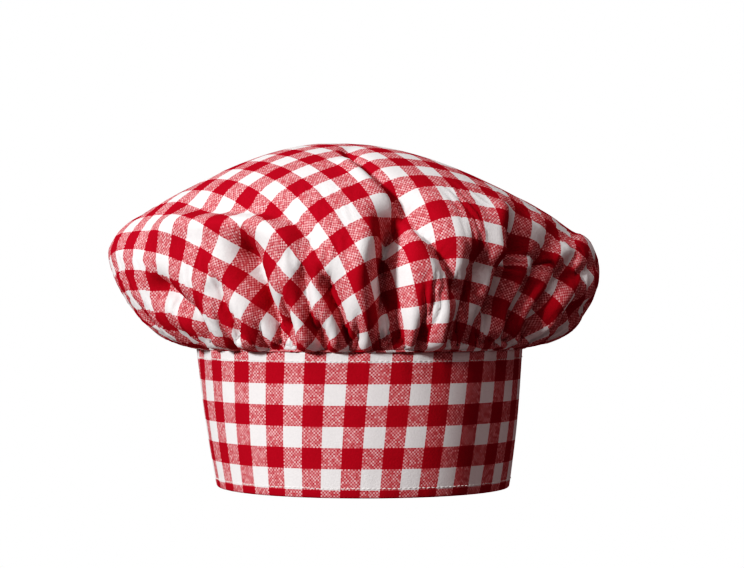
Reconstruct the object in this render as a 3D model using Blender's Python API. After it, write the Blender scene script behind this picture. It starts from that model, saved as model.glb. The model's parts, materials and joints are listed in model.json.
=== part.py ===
"""Chef toque: a soft crown gathered into an upright fabric band that closes at the back.

Metres, +Z up. The origin is the centre of the band's bottom edge. The front faces -Y, and the
band's closing tab is at the back, +Y. Angles are in degrees round +Z from +X, so the back is at
90 and the front at 270.
"""

import math

import bmesh
import bpy
from mathutils import Vector

# Driving dimensions
BAND_HEIGHT = 0.0875
BAND_TOP_RADIUS = 0.103
BAND_FLARE = 0.0105  # how far the bottom edge draws in at the front and sides
CLOTH = 0.0005  # one wall of the band
INTERFACING = 0.0008
GAP = 0.0003  # clearance between neighbouring pieces
BACK = 90.0
STRAIGHT_BACK = 30.0  # the band stands upright this far each side of the back
FULL_FLARE = 85.0  # and flares fully from here on

CROWN_HEIGHT = 0.217
CROWN_RADIUS = 0.1555
CROWN_CLOTH = 0.0008
CROWN_WAIST = 0.143  # height of the crown's widest outline
CROWN_TILT = 0.003  # the widest outline is this much higher on the left, lower on the right
APEX_X = -0.0165
DOME_POWER = 1.5
SEAM_ALLOWANCE = 0.009  # crown edge held between the band's walls
GATHERS = 18
GATHER_DEPTH = 0.0025
LOBES = 12
LOBE_DEPTH = 0.005

OPENING_START = 66.0  # the band's main end, where the tab begins
OPENING_END = 84.0  # the band's under-end
TAB_END = 117.0
TAB_BOTTOM = 0.001
TAB_TOP = 0.084
TAPE = 0.001  # thickness of the hook tape, and of the loop tape
HOOK_WIDTH = 0.025
LOOP_WIDTH = 0.050
TAPE_BOTTOM = 0.009
TAPE_TOP = 0.076

LABEL_START = 150.0
LABEL_WIDTH = 0.022
LABEL_BOTTOM = 0.045
LABEL_TOP = 0.074
LABEL_CLOTH = 0.0004

THREAD_WIDTH = 0.0005
THREAD_DEPTH = 0.00035
HEM_STITCH_HEIGHT = 0.006
TOP_STITCH_DROP = 0.0055  # below the band's top edge
EDGE_STITCH_INSET = 0.003
TAPE_STITCH_INSET = 0.0015

# Worked out from the driving dimensions
STEP = 5.0  # degrees between sections of the band and the crown
FINE_STEP = 2.6
THICKNESS = 2 * CLOTH + 2 * GAP + INTERFACING
FOLD = 0.0006  # how far the hem fold rounds off its corners
STAND_OFF = THICKNESS + 3 * GAP + 2 * TAPE  # tab's outer face over the band's, where they lap
SEAM_BOTTOM = BAND_HEIGHT - SEAM_ALLOWANCE
CROWN_BASE = BAND_HEIGHT + CROWN_CLOTH / 2 + 2 * GAP
DEGREES_PER_METRE = math.degrees(1 / BAND_TOP_RADIUS)


def smooth(value):
    """0 to 1 with level ends."""
    value = min(max(value, 0.0), 1.0)
    return value * value * (3 - 2 * value)


def blend(low, high, share):
    return low + (high - low) * share


# Places on the band and the tab


def polar(angle, radius, z):
    return Vector((radius * math.cos(math.radians(angle)), radius * math.sin(math.radians(angle)), z))


def band_radius(angle, z):
    """Outer radius of the band: a cone that is upright at the back."""
    from_back = abs((angle - BACK + 180) % 360 - 180)
    flare = BAND_FLARE * smooth((from_back - STRAIGHT_BACK) / (FULL_FLARE - STRAIGHT_BACK))
    return BAND_TOP_RADIUS - flare * (1 - z / BAND_HEIGHT)


def on_band(angle, z, depth):
    """A point at a depth inwards from the band's outer face."""
    return polar(angle, band_radius(angle, z) - depth, z)


def on_tab(angle, z, depth):
    """A point at a depth inwards from the tab's outer face, which steps over the under-end."""
    lift = STAND_OFF * smooth((angle - OPENING_START) / (OPENING_END - OPENING_START))
    return polar(angle, BAND_TOP_RADIUS + lift - depth, z)


HINGE = polar(OPENING_START, BAND_TOP_RADIUS, 0.0)


# Mesh helpers


def angles_between(start, end, step):
    """The ends and every multiple of the step between them."""
    first = math.floor(start / step) + 1
    last = math.ceil(end / step) - 1
    return [start] + [index * step for index in range(first, last + 1)] + [end]


def add_rows(points, rows):
    """Append rows of points and return their indices."""
    indices = []
    for row in rows:
        indices.append(list(range(len(points), len(points) + len(row))))
        points.extend(row)
    return indices


def join_rows(rows, around):
    """Quads between neighbouring rows. With around, each row is a closed loop."""
    faces = []
    for low, high in zip(rows, rows[1:]):
        count = len(low)
        for here in range(count if around else count - 1):
            there = (here + 1) % count
            faces.append((low[here], low[there], high[there], high[here]))
    return faces


def make_object(name, points, faces, material, parent=None):
    """One closed body with its faces pointing out. A child's mesh is relative to its parent."""
    offset = parent.location if parent else Vector()
    mesh = bpy.data.meshes.new(name)
    mesh.from_pydata([point - offset for point in points], [], faces)
    shape = bmesh.new()
    shape.from_mesh(mesh)
    # the shorter diagonal keeps the facets of neighbouring twisted walls parallel
    bmesh.ops.triangulate(shape, faces=shape.faces, quad_method="SHORT_EDGE")
    bmesh.ops.recalc_face_normals(shape, faces=shape.faces)
    shape.to_mesh(mesh)
    shape.free()
    mesh.materials.append(material)
    mesh.shade_smooth()
    mesh.set_sharp_from_angle(angle=math.radians(40))
    piece = bpy.data.objects.new(name, mesh)
    bpy.context.collection.objects.link(piece)
    piece.parent = parent
    return piece


def make_strip(name, place, angles, heights, depths, material, parent=None):
    """A flat strip that follows the band or the tab."""
    corners = [(heights[0], depths[0]), (heights[1], depths[0])]
    corners += [(heights[1], depths[1]), (heights[0], depths[1])]
    points = []
    rows = add_rows(points, [[place(angle, z, depth) for z, depth in corners] for angle in angles])
    faces = join_rows(rows, around=True) + [rows[0], rows[-1]]
    return make_object(name, points, faces, material, parent)


def mitres(path, closed):
    """The half-width of a thread, across the path, at each of its (angle, height) points."""
    flat = [Vector((angle / DEGREES_PER_METRE, z)) for angle, z in path]
    legs = [(there - here).normalized() for here, there in zip(flat, flat[1:])]
    if closed:
        closing = (flat[0] - flat[-1]).normalized()
        legs = [closing] + legs + [closing]
    else:
        legs = legs[:1] + legs + legs[-1:]
    halves = []
    for before, after in zip(legs, legs[1:]):
        sides = (before.orthogonal(), after.orthogonal())
        halves.append((sides[0] + sides[1]) / (1 + sides[0].dot(sides[1])) * THREAD_WIDTH / 2)
    return halves


def make_thread(name, place, path, depth, material, closed=False, parent=None):
    """A row of thread along (angle, height) points; its inner face lies at the depth."""
    sections = []
    for (angle, z), side in zip(path, mitres(path, closed)):
        turn = side.x * DEGREES_PER_METRE
        section = [(angle - turn, z - side.y), (angle + turn, z + side.y)]
        inner = [place(a, h, depth) for a, h in section]
        outer = [place(a, h, depth - THREAD_DEPTH) for a, h in reversed(section)]
        sections.append(inner + outer)
    points = []
    rows = add_rows(points, sections)
    if closed:
        faces = join_rows(rows + rows[:1], around=True)
    else:
        faces = join_rows(rows, around=True) + [rows[0], rows[-1]]
    return make_object(name, points, faces, material, parent)


def rectangle_path(start, end, bottom, top):
    """Corners of a rectangle, with points along its two level sides."""
    level = angles_between(start, end, FINE_STEP)
    return [(angle, bottom) for angle in level] + [(angle, top) for angle in reversed(level)]


def cloth_material(name, colour, roughness=0.9):
    material = bpy.data.materials.new(name)
    material.use_nodes = True
    shader = material.node_tree.nodes["Principled BSDF"]
    shader.inputs["Base Color"].default_value = (*colour, 1.0)
    shader.inputs["Roughness"].default_value = roughness
    shader.inputs["Metallic"].default_value = 0.0
    return material


# The band


def fold_line(inset):
    """Section of the folded band cloth from the outer wall's top edge to the inner wall's."""
    far = THICKNESS - inset
    corner = FOLD
    return [
        (BAND_HEIGHT, inset),
        (inset + corner, inset),
        (inset, inset + corner),
        (inset, far - corner),
        (inset + corner, far),
        (BAND_HEIGHT, far),
    ]


def make_band_cloth(material):
    """The folded strip: two walls, the hem fold, and closed ends at the back opening."""
    outer_angles = angles_between(OPENING_END, OPENING_START + 360, STEP)
    end_wall = CLOTH * DEGREES_PER_METRE
    inner_angles = [outer_angles[0] + end_wall] + outer_angles[1:-1] + [outer_angles[-1] - end_wall]
    points = []
    outer = add_rows(points, [[on_band(a, z, d) for z, d in fold_line(0.0)] for a in outer_angles])
    inner = add_rows(points, [[on_band(a, z, d) for z, d in fold_line(CLOTH)] for a in inner_angles])
    faces = join_rows(outer, around=False) + join_rows(inner, around=False)
    for edge in (0, -1):
        faces += join_rows([[row[edge] for row in outer], [row[edge] for row in inner]], around=False)
    for end in (0, -1):
        faces += [outer[end], inner[end]]
        faces.append((outer[end][0], outer[end][-1], inner[end][-1], inner[end][0]))
    return make_object("band_cloth", points, faces, material)


def make_band_interfacing(material):
    """The stiffener between the band's walls, from the hem fold to the crown's raw edge."""
    clear = (CLOTH + GAP) * DEGREES_PER_METRE
    angles = angles_between(OPENING_END + clear, OPENING_START + 360 - clear, STEP)
    heights = (CLOTH + FOLD + 2 * GAP, SEAM_BOTTOM - THREAD_WIDTH - 2 * GAP)
    depths = (CLOTH + GAP, CLOTH + GAP + INTERFACING)
    return make_strip("band_interfacing", on_band, angles, heights, depths, material)


def make_gathering_thread(material):
    """The thread that draws up the crown's raw edge, just under that edge."""
    clear = 2 * STEP  # the crown leaves the band near the opening
    angles = angles_between(OPENING_END + clear, OPENING_START + 360 - clear, STEP)
    height = SEAM_BOTTOM - GAP - THREAD_WIDTH / 2
    path = [(angle, height) for angle in angles]
    return make_thread("gathering_thread", on_band, path, (THICKNESS + THREAD_DEPTH) / 2, material)


def make_band_stitch(name, height, material):
    """A row of topstitch on the band's outer face."""
    inset = EDGE_STITCH_INSET * DEGREES_PER_METRE
    angles = angles_between(OPENING_END + inset, OPENING_START + 360 - inset, STEP)
    return make_thread(name, on_band, [(angle, height) for angle in angles], -GAP, material)


def make_bar_tack(name, angle, material):
    """A short upright bar of thread at an end of the band, over the topstitch."""
    bottom = BAND_HEIGHT - TOP_STITCH_DROP + THREAD_WIDTH + GAP
    path = [(angle, bottom), (angle, BAND_HEIGHT - GAP)]
    return make_thread(name, on_band, path, -GAP, material)


def make_loop_tape(material):
    start = OPENING_END + EDGE_STITCH_INSET * DEGREES_PER_METRE
    angles = angles_between(start, start + LOOP_WIDTH * DEGREES_PER_METRE, FINE_STEP)
    depths = (-GAP - TAPE, -GAP)
    return make_strip("loop_tape", on_band, angles, (TAPE_BOTTOM, TAPE_TOP), depths, material)


def make_loop_tape_stitch(material):
    """The loop tape's stitching, where it comes through on the band's inner face."""
    start = OPENING_END + (EDGE_STITCH_INSET + TAPE_STITCH_INSET) * DEGREES_PER_METRE
    end = start + (LOOP_WIDTH - 2 * TAPE_STITCH_INSET) * DEGREES_PER_METRE
    path = rectangle_path(start, end, TAPE_BOTTOM + TAPE_STITCH_INSET, TAPE_TOP - TAPE_STITCH_INSET)
    depth = THICKNESS + GAP + THREAD_DEPTH
    return make_thread("loop_tape_stitch", on_band, path, depth, material, closed=True)


def make_care_label(material):
    angles = angles_between(LABEL_START, LABEL_START + LABEL_WIDTH * DEGREES_PER_METRE, FINE_STEP)
    depths = (THICKNESS + GAP, THICKNESS + GAP + LABEL_CLOTH)
    return make_strip("care_label", on_band, angles, (LABEL_BOTTOM, LABEL_TOP), depths, material)


def make_care_label_stitch(material):
    """A row of thread across the label's top edge."""
    start = LABEL_START + THREAD_WIDTH * DEGREES_PER_METRE
    end = LABEL_START + (LABEL_WIDTH - THREAD_WIDTH) * DEGREES_PER_METRE
    height = LABEL_TOP - TAPE_STITCH_INSET
    path = [(angle, height) for angle in angles_between(start, end, FINE_STEP)]
    depth = THICKNESS + 2 * GAP + LABEL_CLOTH + THREAD_DEPTH
    return make_thread("care_label_stitch", on_band, path, depth, material)


# The closing tab, which peels outwards about its root


def tab_loop(inset):
    """Section of the tab's cloth, a flat tube turned in along its top edge."""
    near, far = inset, THICKNESS - inset
    low, high = TAB_BOTTOM + inset, TAB_TOP - inset
    corner = FOLD
    return [
        (low + corner, near),
        (low, near + corner),
        (low, far - corner),
        (low + corner, far),
        (high - corner, far),
        (high, far - corner),
        (high, near + corner),
        (high - corner, near),
    ]


def make_tab_cloth(material, hinge):
    """A flat tube, open at its root, where the band's strip goes on into it."""
    root = OPENING_START + 2 * GAP * DEGREES_PER_METRE
    outer_angles = angles_between(root, TAB_END, FINE_STEP)
    inner_angles = outer_angles[:-1] + [TAB_END - CLOTH * DEGREES_PER_METRE]
    points = []
    outer = add_rows(points, [[on_tab(a, z, d) for z, d in tab_loop(0.0)] for a in outer_angles])
    inner = add_rows(points, [[on_tab(a, z, d) for z, d in tab_loop(CLOTH)] for a in inner_angles])
    faces = join_rows(outer, around=True) + join_rows(inner, around=True)
    faces += join_rows([outer[0], inner[0]], around=True)
    faces += [outer[-1], inner[-1]]
    return make_object("tab_cloth", points, faces, material, hinge)


def make_tab_interfacing(material, hinge):
    clear = (CLOTH + GAP) * DEGREES_PER_METRE
    angles = angles_between(OPENING_START + 2 * clear, TAB_END - clear, FINE_STEP)
    margin = CLOTH + FOLD + 2 * GAP
    heights = (TAB_BOTTOM + margin, TAB_TOP - margin)
    depths = (CLOTH + GAP, CLOTH + GAP + INTERFACING)
    return make_strip("tab_interfacing", on_tab, angles, heights, depths, material, hinge)


def hook_tape_ends():
    end = TAB_END - (2 * EDGE_STITCH_INSET + THREAD_WIDTH) * DEGREES_PER_METRE
    return end - HOOK_WIDTH * DEGREES_PER_METRE, end


def make_hook_tape(material, hinge):
    angles = angles_between(*hook_tape_ends(), FINE_STEP)
    depths = (THICKNESS + GAP, THICKNESS + GAP + TAPE)
    return make_strip("hook_tape", on_tab, angles, (TAPE_BOTTOM, TAPE_TOP), depths, material, hinge)


def make_hook_tape_stitch(material, hinge):
    """The hook tape's stitching, where it comes through on the tab's outer face."""
    start, end = hook_tape_ends()
    inset = TAPE_STITCH_INSET * DEGREES_PER_METRE
    bottom, top = TAPE_BOTTOM + TAPE_STITCH_INSET, TAPE_TOP - TAPE_STITCH_INSET
    path = rectangle_path(start + inset, end - inset, bottom, top)
    return make_thread("hook_tape_stitch", on_tab, path, -GAP, material, closed=True, parent=hinge)


def make_tab_edge_stitch(material, hinge):
    """Topstitch along the tab's bottom, end and top edges."""
    start = OPENING_START + EDGE_STITCH_INSET * DEGREES_PER_METRE
    end = TAB_END - EDGE_STITCH_INSET * DEGREES_PER_METRE
    path = rectangle_path(start, end, TAB_BOTTOM + EDGE_STITCH_INSET, TAB_TOP - EDGE_STITCH_INSET)
    return make_thread("tab_edge_stitch", on_tab, path, -GAP, material, parent=hinge)


# The crown


def crown_waist(angle):
    """The crown's widest point in a direction."""
    height = CROWN_WAIST - CROWN_TILT * math.cos(math.radians(angle))
    return polar(angle, CROWN_RADIUS, height)


def underside(angle, share):
    """From the seam, share 0, out and up to the widest point, share 1, with small gathers."""
    turn = share * math.pi / 2
    waist = crown_waist(angle)
    seam = band_radius(angle, BAND_HEIGHT) - THICKNESS / 2
    radius = blend(seam, CROWN_RADIUS, math.sin(turn))
    height = blend(CROWN_BASE, waist.z, 1 - math.cos(turn))
    gather = GATHER_DEPTH * math.sin(2 * turn) * math.cos(math.radians(GATHERS * angle))
    return polar(angle, radius + gather * math.sin(turn), height - gather * math.cos(turn))


def dome(angle, share):
    """From the widest point, share 0, over the dome towards the apex, share 1, in soft lobes."""
    turn = share * math.pi / 2
    out = math.cos(turn) ** (2 / DOME_POWER)
    up = math.sin(turn) ** (2 / DOME_POWER)
    lobe = LOBE_DEPTH * (1 - math.cos(math.radians(LOBES * angle))) / 2 * math.sin(2 * turn)
    waist = crown_waist(angle)
    edge = polar(angle, CROWN_RADIUS - lobe, waist.z)
    apex = Vector((APEX_X, 0.0, 0.0))
    flat = apex.lerp(edge, out)
    return Vector((flat.x, flat.y, blend(waist.z, CROWN_HEIGHT - CROWN_CLOTH / 2, up) - lobe / 2))


def seam_bottom(angle):
    """The crown's lower edge: inside the band, or just clear of it over the back opening."""
    if OPENING_START - STEP < angle < OPENING_END + STEP:
        return BAND_HEIGHT + 1.5 * GAP
    return SEAM_BOTTOM


UNDERSIDE_ROWS = 6
DOME_ROWS = 8
OPENING_HEM = 0.09  # share of the underside between the opening's edge and its stitch
NEARBY = 0.01  # a short step for finding the surface's slope


def make_crown(material):
    """A thin dome with an inward neck; the Solidify modifier gives the cloth its thickness."""
    angles = [index * STEP for index in range(int(360 / STEP))]
    sections = [[on_band(a, seam_bottom(a), THICKNESS / 2) for a in angles]]
    for row in range(UNDERSIDE_ROWS):
        sections.append([underside(angle, row / UNDERSIDE_ROWS) for angle in angles])
    for row in range(DOME_ROWS):
        sections.append([dome(angle, row / DOME_ROWS) for angle in angles])
    points = []
    rows = add_rows(points, sections)
    faces = join_rows(rows, around=True)
    points.append(Vector((APEX_X, 0.0, CROWN_HEIGHT - CROWN_CLOTH / 2)))
    apex = len(points) - 1
    last = rows[-1]
    faces += [(last[i], last[(i + 1) % len(last)], apex) for i in range(len(last))]
    crown = make_object("crown", points, faces, material)
    thickness = crown.modifiers.new("cloth", "SOLIDIFY")
    thickness.thickness = CROWN_CLOTH
    thickness.offset = 0.0
    return crown


def make_opening_hem_stitch(material):
    """The stitch of the crown's narrow hem over the back opening, on the crown's outer face."""

    def on_crown(angle, z, depth):
        share = OPENING_HEM + (z - CROWN_BASE) / (CROWN_WAIST - CROWN_BASE)
        here = underside(angle, share)
        along = underside(angle, share + NEARBY) - here
        across = underside(angle + STEP * NEARBY, share) - here
        normal = along.cross(across).normalized()
        if normal.z > 0:
            normal = -normal
        return here + normal * (CROWN_CLOTH / 2 - depth)

    angles = angles_between(OPENING_START, OPENING_END, FINE_STEP)
    path = [(angle, CROWN_BASE) for angle in angles]
    return make_thread("opening_hem_stitch", on_crown, path, -GAP, material)


def make_hinge_empty():
    hinge = bpy.data.objects.new("tab_hinge", None)
    hinge.location = HINGE
    bpy.context.collection.objects.link(hinge)
    return hinge


def clear_scene():
    for old in list(bpy.data.objects):
        bpy.data.objects.remove(old, do_unlink=True)


def main():
    clear_scene()
    gingham = (0.55, 0.07, 0.10)
    white_thread = (0.80, 0.78, 0.76)
    stiffener = (0.82, 0.82, 0.80)
    thread = cloth_material("thread", white_thread, 0.6)
    make_crown(cloth_material("crown_gingham", gingham))
    make_band_cloth(cloth_material("band_gingham", gingham))
    make_band_interfacing(cloth_material("band_interfacing", stiffener))
    make_gathering_thread(thread)
    make_band_stitch("band_hem_stitch", HEM_STITCH_HEIGHT, thread)
    make_band_stitch("band_top_stitch", BAND_HEIGHT - TOP_STITCH_DROP, thread)
    tack_inset = EDGE_STITCH_INSET * DEGREES_PER_METRE / 2
    make_bar_tack("bar_tack_root", OPENING_START - tack_inset, thread)
    make_bar_tack("bar_tack_under", OPENING_END + tack_inset, thread)
    make_loop_tape(cloth_material("loop_tape", (0.75, 0.74, 0.72)))
    make_loop_tape_stitch(thread)
    make_care_label(cloth_material("care_label", (0.85, 0.85, 0.84), 0.7))
    make_care_label_stitch(thread)
    make_opening_hem_stitch(thread)
    hinge = make_hinge_empty()
    make_tab_cloth(cloth_material("tab_gingham", gingham), hinge)
    make_tab_interfacing(cloth_material("tab_interfacing", stiffener), hinge)
    make_hook_tape(cloth_material("hook_tape", (0.72, 0.71, 0.70), 0.7), hinge)
    make_hook_tape_stitch(thread, hinge)
    make_tab_edge_stitch(thread, hinge)


main()
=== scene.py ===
"""Looks of the gingham chef hat: cloth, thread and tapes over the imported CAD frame.

Metres, +Z up, the front towards -Y and the closing tab at the back, +Y. Angles are in degrees
round +Z from +X, so the front is at 270.
"""

import json
import math

import bmesh
import bpy
import numpy as np
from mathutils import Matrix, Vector


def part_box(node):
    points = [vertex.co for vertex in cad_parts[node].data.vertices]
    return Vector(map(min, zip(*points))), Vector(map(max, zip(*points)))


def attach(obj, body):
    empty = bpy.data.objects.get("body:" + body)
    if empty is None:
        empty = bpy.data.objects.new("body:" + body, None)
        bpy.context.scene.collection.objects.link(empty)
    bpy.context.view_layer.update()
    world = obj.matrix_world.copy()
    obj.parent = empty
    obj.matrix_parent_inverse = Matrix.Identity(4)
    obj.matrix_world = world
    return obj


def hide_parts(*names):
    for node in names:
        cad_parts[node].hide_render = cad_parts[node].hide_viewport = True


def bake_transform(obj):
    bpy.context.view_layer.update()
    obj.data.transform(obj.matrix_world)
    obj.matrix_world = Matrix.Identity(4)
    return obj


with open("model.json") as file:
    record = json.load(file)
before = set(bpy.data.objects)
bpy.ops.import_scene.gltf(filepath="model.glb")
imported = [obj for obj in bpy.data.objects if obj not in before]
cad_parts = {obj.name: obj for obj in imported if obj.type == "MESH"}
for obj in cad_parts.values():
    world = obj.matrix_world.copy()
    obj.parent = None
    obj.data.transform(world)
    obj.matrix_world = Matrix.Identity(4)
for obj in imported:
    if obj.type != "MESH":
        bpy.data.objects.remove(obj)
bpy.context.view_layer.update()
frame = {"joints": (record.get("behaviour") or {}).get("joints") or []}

# Sizes from the frame, and the CAD's angles round the band


def corners_of(node):
    """Low and high corner of a CAD node's box."""
    return (Vector(corner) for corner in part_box(node))


def middle_height(node):
    low, high = corners_of(node)
    return (low.z + high.z) / 2


CROWN_TOP = Vector(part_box("crown")[1])
BAND_TOP = Vector(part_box("band_cloth")[1])
HEM_STITCH_TOP = Vector(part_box("band_hem_stitch")[1])
TAB_LOW, TAB_TOP = corners_of("tab_cloth")
HINGE = Vector(frame["joints"][0]["pos_m"])

CROWN_HEIGHT = CROWN_TOP.z
CROWN_RADIUS = CROWN_TOP.x
BAND_HEIGHT = BAND_TOP.z
BAND_RADIUS = BAND_TOP.x
HEM_HEIGHT = middle_height("band_hem_stitch")
TOP_STITCH_HEIGHT = middle_height("band_top_stitch")
GATHERING_HEIGHT = middle_height("gathering_thread")
THREAD_PROUD = 0.00065  # the CAD hem thread's outer face stands this far off the band
BAND_FLARE = (BAND_RADIUS - HEM_STITCH_TOP.x + THREAD_PROUD) / (1 - HEM_HEIGHT / BAND_HEIGHT)
STRAIGHT_BACK = 30.0  # the band stands upright this far each side of the back
FULL_FLARE = 85.0  # and flares fully from here round the front
OPENING_START = math.degrees(math.atan2(HINGE.y, HINGE.x))
OPENING_END = 84.0
TAB_END = 117.0
BAND_THICKNESS = 0.0024  # both walls and the stiffener between them
STAND_OFF = 0.0053  # the tab's outer face over the band's, where they lap
DEGREES_PER_METRE = math.degrees(1 / BAND_RADIUS)

CHECK = 0.0127  # one stripe of the gingham
THREAD_PITCH = CHECK / 24
STRIP_CLOTH = 0.0005  # thickness of the band's cloth
CROWN_CLOTH = 0.0006
CROWN_CUT = 0.265  # radius of the round of cloth before it is gathered
SEAM_DEPTH = 0.009  # the crown's edge inside the band

# The camera


def make_camera():
    """A long lens, level with the crown's underside, straight in front of the hat."""
    camera = bpy.data.cameras.new("camera")
    camera.sensor_width = 36.0
    camera.lens = 114.3
    holder = bpy.data.objects.new("camera", camera)
    holder.location = (0.007, -1.5, 0.128)
    holder.rotation_euler = (math.radians(90), 0, 0)
    bpy.context.collection.objects.link(holder)
    bpy.context.scene.camera = holder


make_camera()

# Small helpers


def smooth(value):
    """0 to 1 with level ends, for numbers and arrays."""
    value = np.clip(value, 0.0, 1.0)
    return value * value * (3 - 2 * value)


def between(low, high, share):
    return low + (high - low) * share


def wrap(degrees):
    """The same direction, from -180 to 180."""
    return (degrees + 180) % 360 - 180


def noise_1d(positions, period, seed):
    """Smooth noise from -1 to 1 that repeats after a whole number of steps."""
    knots = np.random.default_rng(seed).uniform(-1, 1, period)
    base = np.floor(positions).astype(int)
    share = smooth(positions - base)
    return knots[base % period] * (1 - share) + knots[(base + 1) % period] * share


def new_object(name, points, faces, material, uv=None, closed=True):
    """A smooth mesh; uv gives each point's place in its flat cloth."""
    mesh = bpy.data.meshes.new(name)
    mesh.from_pydata(np.asarray(points).tolist(), [], faces)
    if uv is not None:
        layer = mesh.uv_layers.new(name="weave")
        corners = np.empty(len(mesh.loops), int)
        mesh.loops.foreach_get("vertex_index", corners)
        layer.data.foreach_set("uv", np.asarray(uv, np.float32)[corners].ravel())
    mesh.materials.append(material)
    mesh.shade_smooth()
    if closed:
        face_outwards(mesh)
    piece = bpy.data.objects.new(name, mesh)
    bpy.context.collection.objects.link(piece)
    return piece


def face_outwards(mesh):
    """Turn every face's front to the outside of a closed mesh."""
    shape = bmesh.new()
    shape.from_mesh(mesh)
    bmesh.ops.recalc_face_normals(shape, faces=shape.faces)
    shape.to_mesh(mesh)
    shape.free()


def apply_modifiers(piece):
    """Turn the evaluated shape into the piece's own mesh."""
    bpy.context.view_layer.update()
    graph = bpy.context.evaluated_depsgraph_get()
    mesh = bpy.data.meshes.new_from_object(piece.evaluated_get(graph))
    piece.modifiers.clear()
    piece.data = mesh
    piece.data.shade_smooth()


# Places on the band and the tab


def band_radius(angle, z):
    """Outer radius of the band: a cone that is upright at the back."""
    from_back = np.abs(wrap(angle - 90))
    flare = BAND_FLARE * smooth((from_back - STRAIGHT_BACK) / (FULL_FLARE - STRAIGHT_BACK))
    return BAND_RADIUS - flare * (1 - z / BAND_HEIGHT)


def at(angle, radius, z):
    """Points from an angle, a radius and a height, which may be arrays."""
    turn = np.radians(angle)
    return np.stack(np.broadcast_arrays(radius * np.cos(turn), radius * np.sin(turn), z), axis=-1)


LEAN_TOP = -0.0016  # the band's top edge stands to the left of the axis
LEAN_BOTTOM = 0.00205  # and its bottom edge to the right
BAND_BELLY = 0.0017  # the band swells this much at mid-height
SLACK = 0.0007  # height of the slow waves along the band
SHORT_SLACK = 0.0003
TOP_PUCKER = 0.0006  # puckers at the seam with the crown, and how far down they fade
TOP_FADE = 0.010
HEM_PUCKER = 0.00018
HEM_FADE = 0.006


def lean(angle, z):
    """Sideways lean of the worn band, none of it at the back."""
    front = smooth((0.4 - np.sin(np.radians(angle))) / 0.8)
    return front * (LEAN_BOTTOM + (LEAN_TOP - LEAN_BOTTOM) * z / BAND_HEIGHT)


def on_band(angle, z, depth):
    """Points in the band, at a depth under its outer face."""
    angle, z, depth = np.broadcast_arrays(np.float64(angle), np.float64(z), np.float64(depth))
    place = at(angle, band_radius(angle, z) - depth + band_ripple(angle, z), z)
    place[..., 0] += lean(angle, z)
    return place


def band_ripple(angle, z):
    """Slack and puckers of the band's cloth: waves along it, and small ones at both seams."""
    from_back = np.abs(wrap(angle - 90))
    loose = smooth((from_back - 40) / 20)  # none of it near the tab
    slow = noise_1d(angle / 20.0, 18, 3) * SLACK + noise_1d(angle / 9.0, 40, 5) * SHORT_SLACK
    belly = np.sin(np.clip(z / BAND_HEIGHT, 0, 1) * np.pi)
    top = np.exp(-(BAND_HEIGHT - z) / TOP_FADE)
    pucker = noise_1d(angle / 3.0, 120, 7) * TOP_PUCKER * top
    hem = noise_1d(angle / 1.6, 225, 11) * HEM_PUCKER * np.exp(-np.abs(z - HEM_HEIGHT) / HEM_FADE)
    return loose * ((BAND_BELLY + slow) * belly + pucker + hem)


def on_tab(angle, z, depth):
    """Like on_band at the root; then it steps out over the under-end."""
    lift = STAND_OFF * smooth((angle - OPENING_START) / (OPENING_END - OPENING_START))
    return at(angle, BAND_RADIUS + lift - depth, z)


# Where the pieces belong


def bend_at_root(piece):
    """Cloth and thread that cross the tab's root, between the band and the tab: their placement is baked
    into their mesh.
    """
    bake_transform(piece)


def belong(piece, node, body=None):
    """Hide the CAD node that a piece stands for and attach the piece to its body; with no body, its
    placement is baked.
    """
    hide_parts(node)
    if body:
        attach(piece, body)
    else:
        bend_at_root(piece)


# Materials


class Nodes:
    """Short calls for building a material's node tree."""

    def __init__(self, name):
        self.material = bpy.data.materials.new(name)
        self.material.use_nodes = True
        self.tree = self.material.node_tree
        self.shader = self.tree.nodes["Principled BSDF"]

    def put(self, socket, value):
        if isinstance(value, bpy.types.NodeSocket):
            self.tree.links.new(value, socket)
        else:
            socket.default_value = value

    def add(self, kind, result, settings=None, **sockets):
        """Add a node with these settings and socket values, and give its named result."""
        node = self.tree.nodes.new("ShaderNode" + kind)
        for name, value in (settings or {}).items():
            setattr(node, name, value)
        for name, value in sockets.items():
            self.put(node.inputs[name], value)
        return node.outputs[result]

    def math(self, operation, *values):
        node = self.tree.nodes.new("ShaderNodeMath")
        node.operation = operation
        for socket, value in zip(node.inputs, values):
            self.put(socket, value)
        return node.outputs[0]

    def mix(self, share, low, high, kind="RGBA"):
        """A colour between two colours."""
        return self.add("Mix", "Result", {"data_type": kind}, Factor=share, A=low, B=high)

    def blend(self, share, low, high):
        """A number between two numbers."""
        return self.mix(share, low, high, "FLOAT")

    def vector(self, x, y):
        return self.add("CombineXYZ", "Vector", X=x, Y=y)

    def noise(self, where, scale, detail=2.0, roughness=0.5):
        return self.add("TexNoise", "Fac", Vector=where, Scale=scale, Detail=detail, Roughness=roughness)

    def random(self, where):
        return self.add("TexWhiteNoise", "Value", Vector=where)

    def weave(self):
        """The piece's place in its own flat cloth, in metres along warp and weft."""
        split = self.tree.nodes.new("ShaderNodeSeparateXYZ")
        self.put(split.inputs["Vector"], self.add("UVMap", "UV", {"uv_map": "weave"}))
        return split.outputs["X"], split.outputs["Y"]

    def place(self):
        """The piece's own coordinates."""
        return self.add("TexCoord", "Object")

    def bump(self, height, distance, strength):
        normal = self.add("Bump", "Normal", Height=height, Distance=distance, Strength=strength)
        self.put(self.shader.inputs["Normal"], normal)

    def surface(self, **values):
        for name, value in values.items():
            self.put(self.shader.inputs[name.replace("_", " ")], value)


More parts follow.
